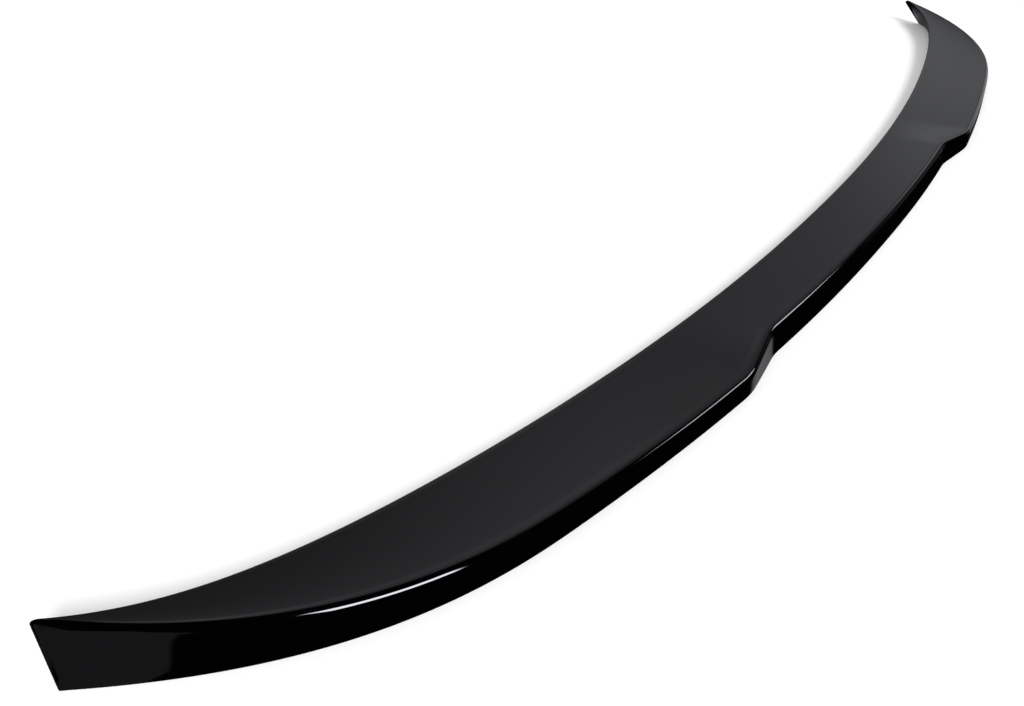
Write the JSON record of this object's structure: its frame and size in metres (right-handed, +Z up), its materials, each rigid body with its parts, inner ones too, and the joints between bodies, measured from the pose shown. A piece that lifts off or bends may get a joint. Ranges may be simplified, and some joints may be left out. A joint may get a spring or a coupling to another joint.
{
  "type": "car rear spoiler",
  "caption": "Stick-on boot lid lip spoiler: one gloss black moulding with swept, tapering tips, a recessed centre section and a ribbed underside.",
  "frame": {"origin": "centre of the bounding box in plan, on the flat rim that the spoiler rests on", "axes": "+X across the car to its right, +Y to the front of the car, +Z up"},
  "size_m": [1.1908, 0.1702, 0.0262],
  "materials": {
    "gloss_abs": "polished mould, piano black"
  },
  "bodies": {
    "root": {"spoiler_body": "gloss_abs"}
  },
  "joints": []
}
